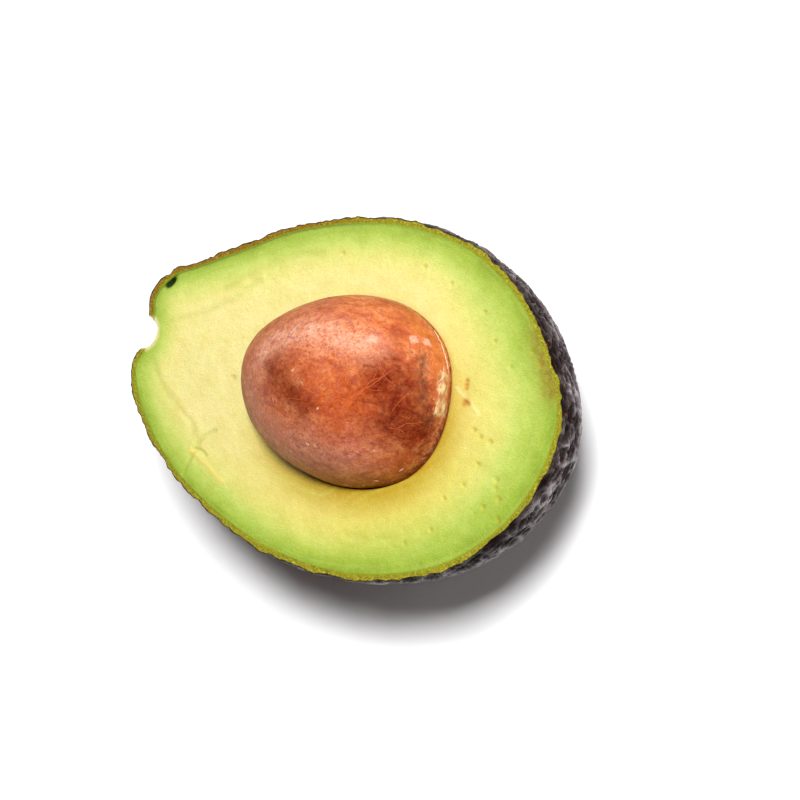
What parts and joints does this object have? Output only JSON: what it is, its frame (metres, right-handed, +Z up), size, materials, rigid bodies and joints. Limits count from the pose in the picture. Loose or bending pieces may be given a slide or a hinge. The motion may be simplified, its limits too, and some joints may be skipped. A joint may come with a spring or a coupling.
{
  "type": "avocado half with its stone",
  "caption": "Half of a ripe pebble-skinned avocado, cut lengthways, with its stone in place, lying on its rind with the cut face up.",
  "frame": {"origin": "the small flat spot under the fruit that it rests on, straight below the middle of the stone's hollow", "axes": "+Z up, straight out of the cut face; +X along the fruit from the stem end to the wide end; +Y across the cut face"},
  "size_m": [0.1056, 0.0721, 0.0553],
  "materials": {
    "rind": "pebbled dark purple-brown skin with a dull shine",
    "flesh": "moist, yellow in the middle and green near the rind",
    "seed": "thin papery red-brown seed coat with fine branching fibres"
  },
  "bodies": {
    "root": {"rind": "rind", "flesh": "flesh", "seed": "seed"}
  },
  "joints": []
}
